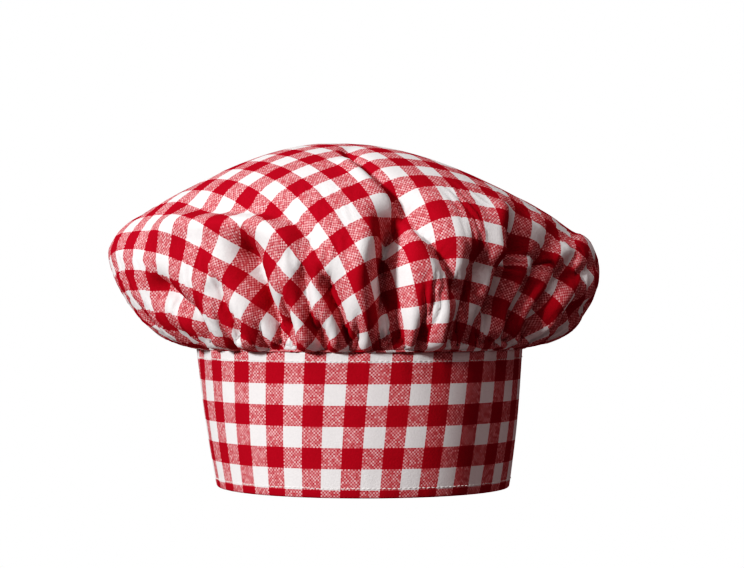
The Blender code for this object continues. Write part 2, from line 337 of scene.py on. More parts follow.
RED_YARN = (0.430, 0.0080, 0.0300, 1.0)
DEEP_RED = (0.350, 0.0060, 0.0240, 1.0)
RED_ON_WHITE = (0.430, 0.0450, 0.0600, 1.0)  # a dyed thread over a bleached one
FAINT_ON_WHITE = (0.560, 0.1300, 0.1450, 1.0)
WHITE_ON_RED = (0.860, 0.4900, 0.4950, 1.0)  # and a bleached one with a dyed one showing through
FAINT_ON_RED = (0.580, 0.1300, 0.1400, 1.0)
WHITE_YARN = (0.870, 0.850, 0.845, 1.0)
GREY_WHITE = (0.780, 0.765, 0.765, 1.0)
WOBBLE = 0.0003  # how far the threads stray sideways
SLUBS = 420.0  # thick and thin places, to the metre of thread


def gingham_material(name):
    """Plain-woven gingham, thread by thread: dyed and bleached stripes in both warp and weft."""
    n = Nodes(name)
    u, v = n.weave()
    wobble = n.math("MULTIPLY", n.math("SUBTRACT", n.noise(n.vector(u, v), 140.0), 0.5), WOBBLE)
    threads = []
    for here, along in ((u, v), (v, u)):
        across = n.math("ADD", here, wobble)
        place = n.math("DIVIDE", across, THREAD_PITCH)
        count = n.math("FLOOR", place)
        edge = n.math("ABSOLUTE", n.math("SUBTRACT", n.math("FRACT", place), 0.5))
        red = n.math("GREATER_THAN", n.math("FRACT", n.math("DIVIDE", across, 2 * CHECK)), 0.5)
        down_thread = n.vector(n.math("MULTIPLY", along, SLUBS), n.math("MULTIPLY", count, 3.7))
        slub = n.noise(down_thread, 1.0)
        threads.append((count, red, edge, slub))
    (warp, warp_red, warp_edge, warp_slub), (weft, weft_red, weft_edge, weft_slub) = threads
    warp_pair = n.math("FLOOR", n.math("MULTIPLY", warp, 0.5))
    weft_pair = n.math("FLOOR", n.math("MULTIPLY", weft, 0.5))
    weft_over = n.math("ABSOLUTE", n.math("MODULO", n.math("ADD", warp_pair, weft_pair), 2.0))
    top_red = n.blend(weft_over, warp_red, weft_red)
    under_red = n.blend(weft_over, weft_red, warp_red)
    slub = n.blend(weft_over, warp_slub, weft_slub)
    edge = n.blend(weft_over, warp_edge, weft_edge)
    speck = n.random(n.vector(warp_pair, weft_pair))
    tone = n.math("ADD", n.math("MULTIPLY", slub, 0.7), n.math("MULTIPLY", speck, 0.35))
    plain_white = n.mix(tone, GREY_WHITE, WHITE_YARN)
    white = n.mix(under_red, plain_white, n.mix(speck, FAINT_ON_RED, WHITE_ON_RED))
    plain_red = n.mix(tone, DEEP_RED, RED_YARN)
    red = n.mix(under_red, n.mix(speck, RED_ON_WHITE, FAINT_ON_WHITE), plain_red)
    n.surface(Base_Color=n.mix(top_red, white, red), Roughness=0.92)
    n.surface(IOR=1.42, Specular_IOR_Level=0.05)
    fuzz = n.math("MULTIPLY", n.noise(n.vector(u, v), 800.0, 3.0), 2.5)
    n.bump(n.math("ADD", n.math("SUBTRACT", 1.0, edge), n.math("ADD", slub, fuzz)), 0.00016, 0.5)
    return n.material


def thread_material(name, light, dark):
    """Twisted sewing thread: fine slanting plies, with painted shade in the grooves between them."""
    n = Nodes(name)
    slant = {"bands_direction": "DIAGONAL"}
    ply = n.add("TexWave", "Fac", slant, Vector=n.place(), Scale=900.0, Distortion=1.5)
    # Painted shade: the colour goes dark where the plies' bump is low, in the grooves between them.
    n.surface(Base_Color=n.mix(ply, dark, light), Roughness=0.55)
    n.surface(Sheen_Weight=0.2, Specular_IOR_Level=0.4)
    n.bump(ply, 0.00005, 0.5)
    return n.material


def felt_material(name, light, dark, roughness, fibre_scale, depth):
    """Matted fibres, for interfacing, loop pile and tape backing."""
    n = Nodes(name)
    place = n.place()
    fibres = n.noise(place, fibre_scale, 5.0, 0.7)
    patches = n.noise(place, fibre_scale / 12, 2.0)
    share = n.math("ADD", n.math("MULTIPLY", fibres, 0.7), n.math("MULTIPLY", patches, 0.3))
    n.surface(Base_Color=n.mix(share, dark, light), Roughness=roughness, Sheen_Weight=0.3)
    n.bump(fibres, depth, 0.7)
    return n.material


def woven_label_material(name):
    """Close satin-faced label ribbon, blank: ribs one way and picks the other."""
    n = Nodes(name)
    u, v = n.weave()
    rib = n.math("SINE", n.math("MULTIPLY", v, math.tau / 0.0004))
    pick = n.math("SINE", n.math("MULTIPLY", u, math.tau / 0.0007))
    height = n.math("ADD", rib, n.math("MULTIPLY", pick, 0.4))
    tone = n.noise(n.vector(u, v), 300.0, 3.0)
    n.surface(Base_Color=n.mix(tone, (0.80, 0.80, 0.78, 1), (0.92, 0.92, 0.90, 1)), Roughness=0.5)
    n.bump(height, 0.00008, 0.5)
    return n.material


# The crown: a flat round of cloth, drawn up to the band and left to settle


def flat_round(radius, rings):
    """Rings of points with even spacing: (distance, angle) for each point, and triangles."""
    points = [(0.0, 0.0)]
    faces = []

    def number(ring, step):
        """A point's place in the list, from its ring and its step round it."""
        return 1 + 3 * ring * (ring - 1) + step % (6 * ring) if ring else 0

    for ring in range(1, rings + 1):
        count = 6 * ring
        points += [(radius * ring / rings, math.tau * step / count) for step in range(count)]
        for sector in range(6):
            for step in range(ring):
                here, ahead = (number(ring, sector * ring + step + more) for more in (0, 1))
                inside = number(ring - 1, sector * (ring - 1) + step)
                faces.append((inside, here, ahead))
                if step < ring - 1:
                    faces.append((inside, ahead, number(ring - 1, sector * (ring - 1) + step + 1)))
    return np.array(points), np.array(faces)


RIGHT_WAIST = 0.141  # height of the crown's widest outline
LEFT_WAIST = 0.1495
APEX_X = -0.0165
CROWN_SHIFT = -0.0034  # the whole puff leans to the left
RIGHT_DOME_POWER = 1.42  # roundness over the waist: 2 is an ellipse, and more is squarer
LEFT_DOME_POWER = 1.40
RIGHT_UNDER_POWER = 2.25  # and the same under the waist
LEFT_UNDER_POWER = 1.62
SEAM_INSET = BAND_THICKNESS / 2 - CROWN_CLOTH / 2  # the crown's outer face in the band's pocket
SEAM_HEIGHT = BAND_HEIGHT + 0.0008  # the crown's cloth bends over the band's top here

# The front hangs steeper than the sides
FRONT_DRAWN_IN = 0.0270
FRONT_WAIST_DROP = 0.011
FRONT_DOME_POWER = 2.05
FRONT_UNDER_POWER = 3.0
FRONT_CUT_SHARE = 0.910  # the round of cloth is trimmed to this much of its radius at the front


def front_share(angle):
    """1 at the front of the crown, 0 from the sides round the back; the angle is in radians."""
    return smooth(np.clip(-np.sin(angle), 0, 1) * 1.15)


def crown_outline(angle, steps=100):
    """The puffed crown's outline in one direction, from the apex down to the edge in the band."""
    front = float(front_share(angle))
    radius = CROWN_RADIUS - FRONT_DRAWN_IN * front
    left = (1 - math.cos(angle)) / 2
    waist = between(RIGHT_WAIST, LEFT_WAIST, left) - FRONT_WAIST_DROP * front
    dome_power = between(between(RIGHT_DOME_POWER, LEFT_DOME_POWER, left), FRONT_DOME_POWER, front)
    under_power = between(between(RIGHT_UNDER_POWER, LEFT_UNDER_POWER, left), FRONT_UNDER_POWER, front)
    turn = np.linspace(0, math.pi / 2, steps + 1)
    out = np.sin(turn) ** (2 / dome_power)
    rise = np.abs(np.cos(turn)) ** (2 / dome_power)
    dome = np.stack((radius * out * math.cos(angle), radius * out * math.sin(angle)), axis=1)
    dome[:, 0] += APEX_X * (1 - out) + CROWN_SHIFT * out
    dome_heights = waist + (CROWN_HEIGHT - waist) * rise
    degrees = math.degrees(angle)
    seam = on_band(degrees, BAND_HEIGHT, SEAM_INSET)[:2]
    edge = on_band(degrees, SEAM_HEIGHT - SEAM_DEPTH, SEAM_INSET)[:2]
    under = np.cos(turn[1:-1]) ** (2 / under_power)
    drop = 1 - np.sin(turn[1:-1]) ** (2 / under_power)
    underside = seam + (dome[-1] - seam) * under[:, None]
    under_heights = SEAM_HEIGHT + (waist - SEAM_HEIGHT) * drop
    across = np.concatenate((dome, underside, [seam, edge]))
    heights = np.concatenate((dome_heights, under_heights, [SEAM_HEIGHT, SEAM_HEIGHT - SEAM_DEPTH]))
    return np.column_stack((across, heights))


BODY_CUT = CROWN_CUT - SEAM_DEPTH  # the cloth outside this distance is inside the band


def puffed_places(flat):
    """Every point of the flat round, laid along the outline in its own direction."""
    places = np.zeros((len(flat), 3))
    angles, owner = np.unique(np.round(flat[:, 1], 6), return_inverse=True)
    order = np.argsort(owner, kind="stable")
    ends = np.searchsorted(owner[order], np.arange(len(angles) + 1))
    for number, angle in enumerate(angles):
        mine = order[ends[number]:ends[number + 1]]
        line = crown_outline(angle)
        lengths = np.linalg.norm(np.diff(line, axis=0), axis=1)
        along = np.concatenate(([0.0], np.cumsum(lengths)))
        body = along[-1] - SEAM_DEPTH
        distance = flat[mine, 0]
        reach = np.where(distance < BODY_CUT, distance / BODY_CUT * body, body + distance - BODY_CUT)
        for axis in range(3):
            places[mine, axis] = np.interp(reach, along, line[:, axis])
    return places


# Folds of the front, as seen from there: a line of (x, z), half width and depth, all in mm.
# A negative depth raises a ridge.
FRONT_FOLDS = {
    "trough at the peak": (((-12, 213), (-3, 204), (8, 194), (20, 184)), 4.0, 7),
    "trough under the peak": (((14, 189), (31, 175), (42, 161), (52, 144), (58, 125)), 4.5, 14),
    "ridge under the peak": (((-14, 206), (-2, 196), (9, 187), (18, 180)), 4.5, -4),
    "middle valley": (((25, 179), (21, 162), (18, 138), (18, 112), (19, 92)), 8.5, 34),
    "middle lobe": (((12, 172), (5, 152), (1, 132), (4, 108)), 7.0, -8),
    "panel's left edge": (((31, 176), (31, 150), (31, 120), (32, 92)), 3.5, -6),
    "panel's right edge": (((54, 142), (54, 120), (48, 94)), 4.5, -5),
    "panel's valley": (((80, 152), (74, 136), (70, 118), (62, 98)), 9.0, 18),
    "sharp lobe": (((84, 180), (87, 165), (87, 148)), 5.0, -8),
    "lobe's valley": (((95, 176), (99, 150), (93, 120), (80, 95)), 7.0, 25),
    "hollow at the right": (((112, 168), (114, 142), (102, 110)), 16.0, 12),
    "slanting ridge": (((112, 168), (113, 150), (104, 122), (92, 98)), 3.5, -5),
    "slanting crease": (((120, 160), (118, 140), (108, 115), (98, 95)), 4.0, 14),
    "outer slanting crease": (((137, 152), (128, 128), (112, 98)), 4.0, 14),
    "left valley": (((-74, 158), (-70, 147), (-65, 130), (-60, 114), (-50, 96)), 6.0, 26),
    "left shoulder": (((-130, 156), (-109, 163), (-81, 163), (-58, 162), (-44, 154)), 6.0, -8),
    "over the shoulder": (((-112, 177), (-89, 175), (-65, 174), (-41, 168), (-28, 156)), 6.0, 6),
    "left corner": (((-156, 156), (-147, 167)), 6.0, -2),
    "right corner": (((136, 160), (143, 156)), 6.0, -5),
    "right notch": (((158, 141), (147, 140), (134, 132)), 3.5, 7),
    "lower right notch": (((156, 117), (146, 115), (132, 108)), 4.5, 8),
    "left dimple": (((-130, 132), (-118, 121), (-104, 110), (-98, 98)), 5.0, 15),
    "left gather": (((-88, 132), (-84, 115), (-76, 98)), 4.0, 9),
    "middle gather": (((-22, 134), (-14, 114), (-8, 94)), 4.5, 15),
    "inner gather": (((-34, 140), (-34, 122), (-31, 106), (-24, 94)), 4.0, 13),
}


def line_distance(x, z, line):
    """For each point, its distance from a bent line and its share of the way along it."""
    nearest = np.full(len(x), np.inf)
    share = np.zeros(len(x))
    lengths = [math.dist(start, end) for start, end in zip(line, line[1:])]
    passed = 0.0
    for (start_x, start_z), (end_x, end_z), length in zip(line, line[1:], lengths):
        step_x, step_z = (end_x - start_x) / length, (end_z - start_z) / length
        along = np.clip((x - start_x) * step_x + (z - start_z) * step_z, 0, length)
        distance = np.hypot(x - start_x - along * step_x, z - start_z - along * step_z)
        closer = distance < nearest
        nearest[closer] = distance[closer]
        share[closer] = (passed + along[closer]) / sum(lengths)
        passed += length
    return nearest, share


GATHER_DEPTH = 0.015
LEVEL_BELOW = 0.104  # lower than this, a fold is pressed straight in towards the hat's middle
SQUARE_ABOVE = 0.132  # and higher than this, square to the cloth
DEEPEST_SHARE = 0.85  # a level fold goes in by at most this share of the overhang
CREASE_SHARPNESS = 1.35
RIDGE_SHARPNESS = 2.0


def lowness(places):
    """1 under the overhang, 0 above it."""
    return 1 - smooth((places[:, 2] - LEVEL_BELOW) / (SQUARE_ABOVE - LEVEL_BELOW))


def add_front_folds(depths, places):
    """The front's own folds; each one fades in along the first quarter of its line."""
    facing = smooth(0.5 - places[:, 1] / 0.02)
    for line, width, depth in FRONT_FOLDS.values():
        away, along = line_distance(places[:, 0] * 1000, places[:, 2] * 1000, line)
        sharpness = CREASE_SHARPNESS if depth > 0 else RIDGE_SHARPNESS
        full = facing * 0.001 * depth * np.exp(-((away / width) ** sharpness))
        depths += full * smooth(along / 0.25 + 0.12)


def add_back_folds(depths, flat, scatter):
    """Soft folds that run down to the seam, from the right side round the back to the left."""
    distance, angle = flat[:, 0], np.degrees(flat[:, 1])
    for centre in np.arange(2.0, 184.0, 14.0):
        away = wrap(angle - centre - scatter.uniform(-4, 4))
        start = scatter.uniform(0.12, 0.17)
        shape = np.exp(-((away / scatter.uniform(2.6, 4.0)) ** 2)) * smooth((distance - start) / 0.05)
        depths += scatter.uniform(0.009, 0.018) * shape


def add_gathers(depths, flat, scatter):
    """Short sharp gathers, all the way round the seam."""
    distance, angle = flat[:, 0], np.degrees(flat[:, 1])
    centre = 0.0
    while centre < 360:
        away = wrap(angle - centre)
        start = BODY_CUT - scatter.uniform(0.035, 0.07)
        shape = np.exp(-np.abs(away) / scatter.uniform(1.6, 2.3)) * smooth((distance - start) / 0.03)
        depths += GATHER_DEPTH * scatter.uniform(0.7, 1.1) * shape
        centre += scatter.uniform(8.2, 12.5)


def fold_depths(places, flat):
    """How far each point is pressed in: all the folds, but no deeper than the overhang allows."""
    depths = np.zeros(len(flat))
    scatter = np.random.default_rng(12)
    add_front_folds(depths, places)
    add_back_folds(depths, flat, scatter)
    add_gathers(depths, flat, scatter)
    overhang = np.maximum(np.hypot(places[:, 0], places[:, 1]) - BAND_RADIUS, 0)
    low = lowness(places)
    deepest = np.where(low > 0, DEEPEST_SHARE * overhang / np.maximum(low, 0.01), 1.0)
    return np.minimum(depths, deepest) * smooth((BODY_CUT - flat[:, 0]) / 0.010)


def point_normals(places, faces):
    """Outward direction of the cloth at every point."""
    first, second, third = (places[faces[:, corner]] for corner in range(3))
    across = np.cross(second - first, third - first)
    total = np.zeros_like(places)
    for corner in range(3):
        for axis in range(3):
            total[:, axis] += np.bincount(faces[:, corner], across[:, axis], len(places))
    return total / (np.linalg.norm(total, axis=1)[:, None] + 1e-12)


def press_directions(places, faces):
    """Which way is outward for a fold: level under the overhang, square to the cloth above it."""
    level = places * (1, 1, 0)
    level /= np.linalg.norm(level, axis=1)[:, None] + 1e-9
    low = lowness(places)[:, None]
    outward = low * level + (1 - low) * point_normals(places, faces)
    return outward / (np.linalg.norm(outward, axis=1)[:, None] + 1e-9)


def cloth_links(faces, count):
    """Pairs of points along every edge, and the pairs that face each other over an edge."""
    sides = np.concatenate((faces[:, [0, 1]], faces[:, [1, 2]], faces[:, [2, 0]]))
    opposite = np.concatenate((faces[:, 2], faces[:, 0], faces[:, 1]))
    sides = np.sort(sides, axis=1)
    order = np.argsort(sides[:, 0] * count + sides[:, 1], kind="stable")
    sides, opposite = sides[order], opposite[order]
    repeat = np.concatenate(([False], np.all(sides[1:] == sides[:-1], axis=1)))
    again = np.where(repeat)[0]
    return sides[~repeat], np.stack((opposite[again], opposite[again - 1]), axis=1)


def link_facts(pairs, flat_places):
    """The flat length of every link, and the number of links at every point."""
    lengths = np.linalg.norm(flat_places[pairs[:, 0]] - flat_places[pairs[:, 1]], axis=1)
    return lengths, np.bincount(pairs.ravel(), minlength=len(flat_places)) + 1e-9


def pull(places, pairs, lengths, shares, stretch, squeeze):
    """Move linked points towards their flat spacing; squeezed links push back less."""
    apart = places[pairs[:, 0]] - places[pairs[:, 1]]
    spacing = np.sqrt((apart * apart).sum(axis=1)) + 1e-12
    firmness = np.where(spacing > lengths, stretch, squeeze)
    move = apart * (0.5 * firmness * (spacing - lengths) / spacing)[:, None]
    total = np.empty_like(places)
    for axis in range(3):
        towards = np.bincount(pairs[:, 1], move[:, axis], len(places))
        total[:, axis] = towards - np.bincount(pairs[:, 0], move[:, axis], len(places))
    return total / shares[:, None]


SQUEEZE = 0.8  # how firmly the cloth resists being gathered
STIFFNESS = 0.005  # and bent
FIRM_STEP = 1.5
HOLD = 0.010  # the soft filling's grip on the cloth
PUFF = 0.00003  # push of the filling and of the cloth's weight, in metres per step
WEIGHT = 0.000004
SLOWING = 0.9
ROUNDS = 4  # corrections of the cloth's lengths in each step
DEEPER = 0.005  # how far a fold may settle past its pressed depth
SHALLOWER = 0.0028  # and short of it
BULGE = 0.0015  # how far the cloth may stand out over the puffed outline
REST_ON_BAND = SEAM_HEIGHT - 0.0015


def settling_limits(depths, from_seam, distance):
    """How far in and out of the puffed outline each point may come to rest."""
    near = smooth(from_seam / 0.012)
    loose = smooth((distance - 0.10) / 0.06) * smooth(from_seam / 0.050)
    lowest = -(depths + DEEPER * loose)
    highest = np.minimum(SHALLOWER * loose - depths, BULGE * near - np.minimum(depths, 0))
    return lowest, highest


def gathering_shares(distance):
    """How far the cloth is drawn up at the seam, and how firm that leaves it against more."""
    gathered = 0.9 * smooth((distance - 0.20) / 0.05)
    drawn_up = smooth((distance - BODY_CUT + 0.030) / 0.015)
    return drawn_up, (1 - gathered) * (1 - drawn_up)


def settle(pressed, puffed, depths, flat_places, flat, faces, steps):
    """Let the pressed cloth find its own lengths over the filling, its edge held in the band."""
    outward = press_directions(puffed, faces)
    edges, across = cloth_links(faces, len(pressed))
    edge_facts, across_facts = link_facts(edges, flat_places), link_facts(across, flat_places)
    distance = flat[:, 0]
    from_seam = BODY_CUT - distance
    free = (distance < BODY_CUT + 1e-4).astype(float)[:, None]
    lowest, highest = settling_limits(depths, from_seam, distance)
    drawn_up, firm = gathering_shares(distance)
    squeeze = SQUEEZE * firm[edges[:, 0]]
    stiffness = STIFFNESS * (1 - drawn_up[across[:, 0]])
    places = pressed.copy()
    speed = np.zeros_like(places)
    for _ in range(steps):
        speed = speed * SLOWING + point_normals(places, faces) * PUFF
        speed[:, 2] -= WEIGHT
        ahead = places + speed * free
        for _ in range(ROUNDS):
            ahead += FIRM_STEP * free * pull(ahead, edges, *edge_facts, 1.0, squeeze)
            ahead += free * pull(ahead, across, *across_facts, 0.0, stiffness)
            rise = ((ahead - puffed) * outward).sum(axis=1)
            ahead += outward * ((np.clip(rise, lowest, highest) - rise) * free[:, 0])[:, None]
            ahead += HOLD * free * (pressed - ahead)
            lifted = np.maximum(ahead[:, 2], REST_ON_BAND)
            ahead[:, 2] = np.where(free[:, 0] > 0, lifted, ahead[:, 2])
        speed = ahead - places
        places = ahead
    return places


GRAIN_TURN = math.radians(63)  # the check's threads, turned from the hat's front
GRAIN_CENTRE = (0.0102, -0.0052)  # the round's centre is this far from a corner of the checks


def flat_layout(flat):
    """The cloth laid flat: a round trimmed a little at the front."""
    distance = flat[:, 0] * (1 - (1 - FRONT_CUT_SHARE) * front_share(flat[:, 1]))
    return np.stack((distance * np.cos(flat[:, 1]), distance * np.sin(flat[:, 1])), axis=1)


def crown_weave(flat):
    """Warp and weft places of the crown's cloth."""
    x, y = (flat_layout(flat) - GRAIN_CENTRE).T
    cos, sin = math.cos(GRAIN_TURN), math.sin(GRAIN_TURN)
    return np.stack((x * cos - y * sin, x * sin + y * cos), axis=1)


JITTER = 0.0001  # unevenness, so that the cloth doesn't buckle too regularly


def make_crown(material):
    """The gathered round of gingham, pressed into its folds and settled."""
    rings, steps = ((100, 90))
    flat, faces = flat_round(CROWN_CUT, rings)
    puffed = puffed_places(flat)
    depths = fold_depths(puffed, flat)
    jitter = np.random.default_rng(3).normal(0, JITTER, puffed.shape)
    jitter *= (flat[:, 0] < BODY_CUT)[:, None]
    pressed = puffed - press_directions(puffed, faces) * depths[:, None] + jitter
    places = settle(pressed, puffed, depths, flat_layout(flat), flat, faces, steps)
    weave = crown_weave(flat)
    crown = new_object("crown_gingham", places, faces.tolist(), material, weave, closed=False)
    cloth = crown.modifiers.new("cloth_thickness", "SOLIDIFY")
    cloth.thickness = CROWN_CLOTH
    cloth.offset = -1.0
    apply_modifiers(crown)
    belong(crown, "crown", "hat")


# The band strip


def pocket_faces(width, count, capped_end):
    """Faces of a folded strip's two skins, their rims, and a cap over one end of the fold."""
    inner = width * count
    faces = []
    for row in range(count - 1):
        for step in range(width - 1):
            here = row * width + step
            ahead = here + width
            faces.append((here, here + 1, ahead + 1, ahead))
            faces.append((inner + ahead, inner + ahead + 1, inner + here + 1, inner + here))
        for step in (0, width - 1):
            here = row * width + step
            faces.append((here, here + width, inner + here + width, inner + here))
    for row in (0, count - 1):
        for step in range(width - 1):
            here = row * width + step
            faces.append((here, here + 1, inner + here + 1, inner + here))
    cap = capped_end % count * width
    for step in range(width // 2):
        corners = (cap + step, cap + step + 1, cap + width - 2 - step, cap + width - 1 - step)
        faces.append(tuple(dict.fromkeys(corners)))  # the last one, under the fold, is a triangle
    return faces


def swept_pocket(name, place, angles, lines, material, capped_end):
    """A folded strip along the band: its skins are lines of (height, depth, distance on cloth)."""
    points = []
    uv = []
    for line in lines:
        heights, depths, across = np.array(line).T
        grid_angles = np.repeat(np.array(angles)[:, None], len(line), axis=1)
        points.append(place(grid_angles, heights[None, :], depths[None, :]).reshape(-1, 3))
        uv.append(np.stack(band_weave(grid_angles, across[None, :]), axis=-1).reshape(-1, 2))
    faces = pocket_faces(len(lines[0]), len(angles), capped_end)
    return new_object(name, np.concatenate(points), faces, material, uv=np.concatenate(uv))


GRAIN_RADIUS = 0.0997  # where the band's stripes have their true width
GRAIN_SLANT = 0.118  # how far the upright stripes lean for each metre up
SLANT_LEVEL = 0.020  # height about which they lean
FIRST_ROW = 0.0050  # height of the hem's first stripe
FIRST_COLUMN = -0.0003


def band_weave(angle, height):
    """Warp and weft places of the band's cloth; the fold carries the height on, negative inside."""
    along = np.radians(wrap(angle - 270)) * GRAIN_RADIUS
    angle, height, along = np.broadcast_arrays(angle, height, along)
    return along - GRAIN_SLANT * (height - SLANT_LEVEL) - FIRST_COLUMN, height - FIRST_ROW


CLOSING = 0.0012  # height over which the tab's turned-in edges meet
FOLD_STEPS = 6
WALL_ROWS = 22


def fold_lines():
    """Outer and inner skin of the folded cloth, from the outer wall's top round to the inner's."""
    radius = BAND_THICKNESS / 2
    wall_top = BAND_HEIGHT - CLOSING
    wall = [wall_top - (wall_top - radius) * row / WALL_ROWS for row in range(WALL_ROWS)]
    heights = [BAND_HEIGHT, *wall]
    back = radius * (1 - math.pi)
    lines = []
    for inset in (0.0, STRIP_CLOTH):
        bend = radius - inset
        line = [(height, inset, height) for height in heights]
        for step in range(FOLD_STEPS + 1):
            turn = step / FOLD_STEPS * math.pi
            height = radius - bend * math.sin(turn)
            line.append((height, radius - bend * math.cos(turn), radius * (1 - turn)))
        for height in reversed(heights):
            rise = height - radius
            line.append((radius + rise, BAND_THICKNESS - inset, back - rise))
        lines.append(line)
    return lines


ROOT_PART = 61.0  # the tab's piece of the strip starts here, and the band's piece ends here


def make_band(material):
    """The band's strip, folded at the hem, from the under-end round the front to the tab's root."""
    angles = np.linspace(OPENING_END, ROOT_PART + 360.0, 300)
    band = swept_pocket("band_strip", on_band, angles, fold_lines(), material, 0)
    belong(band, "band_cloth", "hat")


def make_tab(material):
    """The strip's free end, which laps over the under-end and bends at its root."""
    angles = np.linspace(ROOT_PART, TAB_END, 60)

    def place(angle, z, depth):
        """From the band's own shape to the tab's, which is a little lower and closed at its top."""
        share = smooth((angle - ROOT_PART) / (OPENING_START - ROOT_PART))[..., None]
        low = TAB_LOW.z + (TAB_TOP.z - TAB_LOW.z) * z / BAND_HEIGHT
        meeting = smooth((z - BAND_HEIGHT + CLOSING) / CLOSING) * 0.3
        free = on_tab(angle, low, depth + (BAND_THICKNESS - 2 * depth) * meeting)
        return on_band(angle, z, depth) * (1 - share) + free * share

    tab = swept_pocket("tab_strip", place, angles, fold_lines(), material, -1)
    belong(tab, "tab_cloth")


# Sewing thread

THREAD_RADIUS = 0.00026
THREAD_SIDES = 6
ON_CLOTH = -0.0001  # depth of a thread that lies on the outer face
UNDER_CLOTH = BAND_THICKNESS - ON_CLOTH  # and on the inner one
BAND_STITCH = 0.0027
TAPE_STITCH = 0.0022
STITCH_PAUSE = 0.0007
EDGE_INSET = 0.0030
TAPE_INSET = 0.0015
BAND_START = OPENING_END + EDGE_INSET * DEGREES_PER_METRE
BAND_FINISH = OPENING_START + 360 - EDGE_INSET * DEGREES_PER_METRE


def running_stitches(path, stitch, pause=STITCH_PAUSE):
    """Stitches of even length along (angle, height) points: an array of starts and ends."""
    path = np.asarray(path, float)
    flat = path / (DEGREES_PER_METRE, 1.0)
    along = np.concatenate(([0.0], np.cumsum(np.linalg.norm(np.diff(flat, axis=0), axis=1))))
    count = max(int(along[-1] / (stitch + pause)), 1)
    starts = (np.arange(count) + 0.5) * along[-1] / count - stitch / 2
    ends = [
        [np.interp(where, along, path[:, axis]) for axis in (0, 1)]
        for where in (starts, starts + stitch)
    ]
    return np.stack(ends).transpose(2, 0, 1)


def zigzag_stitches(angle, bottom, top, width, pitch):
    """Close stitches from side to side up a short bar."""
    heights = np.arange(bottom, top, pitch)
    sides = np.where(np.arange(len(heights)) % 2 == 0, -1, 1) * width / 2 * DEGREES_PER_METRE
    corners = np.stack((angle + sides, heights), axis=1)
    return np.stack((corners[:-1], corners[1:]), axis=1)


def rectangle(start, end, bottom, top, closed=True):
    """Corners of a rectangle in (angle, height), with points along its two level sides."""
    level = np.linspace(start, end, 24)
    path = [(angle, bottom) for angle in level] + [(angle, top) for angle in reversed(level)]
    return path + path[:1] if closed else path


def sew(node, place, stitches, depth, material, body=None, facing=1):
    """Short round pieces of thread, each dipping into the cloth at its ends, for a CAD thread."""
    shares = np.array((0.0, 0.15, 0.5, 0.85, 1.0))
    dips = np.array((0.0004, 0.00005, -0.00008, 0.00005, 0.0004)) * facing
    thickness = np.array((0.55, 0.95, 1.0, 0.95, 0.55)) * THREAD_RADIUS
    start, end = stitches[:, 0], stitches[:, 1]
    line = start[:, None] + (end - start)[:, None] * shares[None, :, None]
    centres = place(line[..., 0], line[..., 1], depth + dips)
    outward = place(line[..., 0], line[..., 1], depth - 0.001) - centres
    outward /= np.linalg.norm(outward, axis=-1, keepdims=True)
    along = centres[:, -1:] - centres[:, :1]
    along /= np.linalg.norm(along, axis=-1, keepdims=True)
    side = np.cross(outward, along)
    turn = np.arange(THREAD_SIDES)[:, None] * math.tau / THREAD_SIDES
    circle = outward[:, :, None] * np.cos(turn) + side[:, :, None] * np.sin(turn)
    points = centres[:, :, None] + circle * thickness[:, None, None]
    faces = []
    size = len(shares) * THREAD_SIDES
    for base in range(0, len(stitches) * size, size):
        for ring in range(base, base + size - THREAD_SIDES, THREAD_SIDES):
            for step in range(THREAD_SIDES):
                here = ring + step
                ahead = ring + (step + 1) % THREAD_SIDES
                faces.append((here, ahead, ahead + THREAD_SIDES, here + THREAD_SIDES))
        faces.append(tuple(base + step for step in reversed(range(THREAD_SIDES))))
        faces.append(tuple(base + size - THREAD_SIDES + step for step in range(THREAD_SIDES)))
    row = new_object(node + "_looks", points.reshape(-1, 3), faces, material)
    belong(row, node, body)


def make_band_threads(thread):
    """Topstitch at the band's top and hem, a bar tack at each end, and the gathering thread."""
    level = np.linspace(BAND_START, BAND_FINISH, 240)
    wander = noise_1d(level / 2.0, 180, 17) * 0.00015
    for node, height in (("band_hem_stitch", HEM_HEIGHT), ("band_top_stitch", TOP_STITCH_HEIGHT)):
        stitches = running_stitches(np.stack((level, height + wander), axis=1), BAND_STITCH)
        sew(node, on_band, stitches, ON_CLOTH, thread, "hat")
    bottom, top = TOP_STITCH_HEIGHT + 0.0008, BAND_HEIGHT - 0.0006
    for node, angle in (("bar_tack_root", BAND_FINISH), ("bar_tack_under", BAND_START)):
        stitches = zigzag_stitches(angle, bottom, top, 0.0016, 0.00035)
        sew(node, on_band, stitches, ON_CLOTH, thread, "hat")
    angles = np.linspace(OPENING_END + 10, OPENING_START + 350, 160)
    stitches = running_stitches([(angle, GATHERING_HEIGHT) for angle in angles], 0.005, 0.001)
    sew("gathering_thread", on_band, stitches, BAND_THICKNESS / 2, thread, "hat")


def make_tab_edge_stitch(thread):
    """Round the tab's three free sides."""
    start = OPENING_START + EDGE_INSET * DEGREES_PER_METRE
    end = TAB_END - EDGE_INSET * DEGREES_PER_METRE
    path = rectangle(start, end, TAB_LOW.z + EDGE_INSET, TAB_TOP.z - EDGE_INSET, closed=False)
    sew("tab_edge_stitch", on_tab, running_stitches(path, BAND_STITCH), ON_CLOTH, thread)


def make_opening_hem_stitch(thread):
    """The stitched edge of the crown over the back opening."""
    angles = np.linspace(OPENING_START + 1, OPENING_END - 1, 12)
    stitches = running_stitches([(angle, SEAM_HEIGHT - 0.003) for angle in angles], BAND_STITCH)
    sew("opening_hem_stitch", on_band, stitches, BAND_THICKNESS / 2 - 0.0004, thread, "hat")


# Tapes, stiffeners and label: flat strips with soft edges

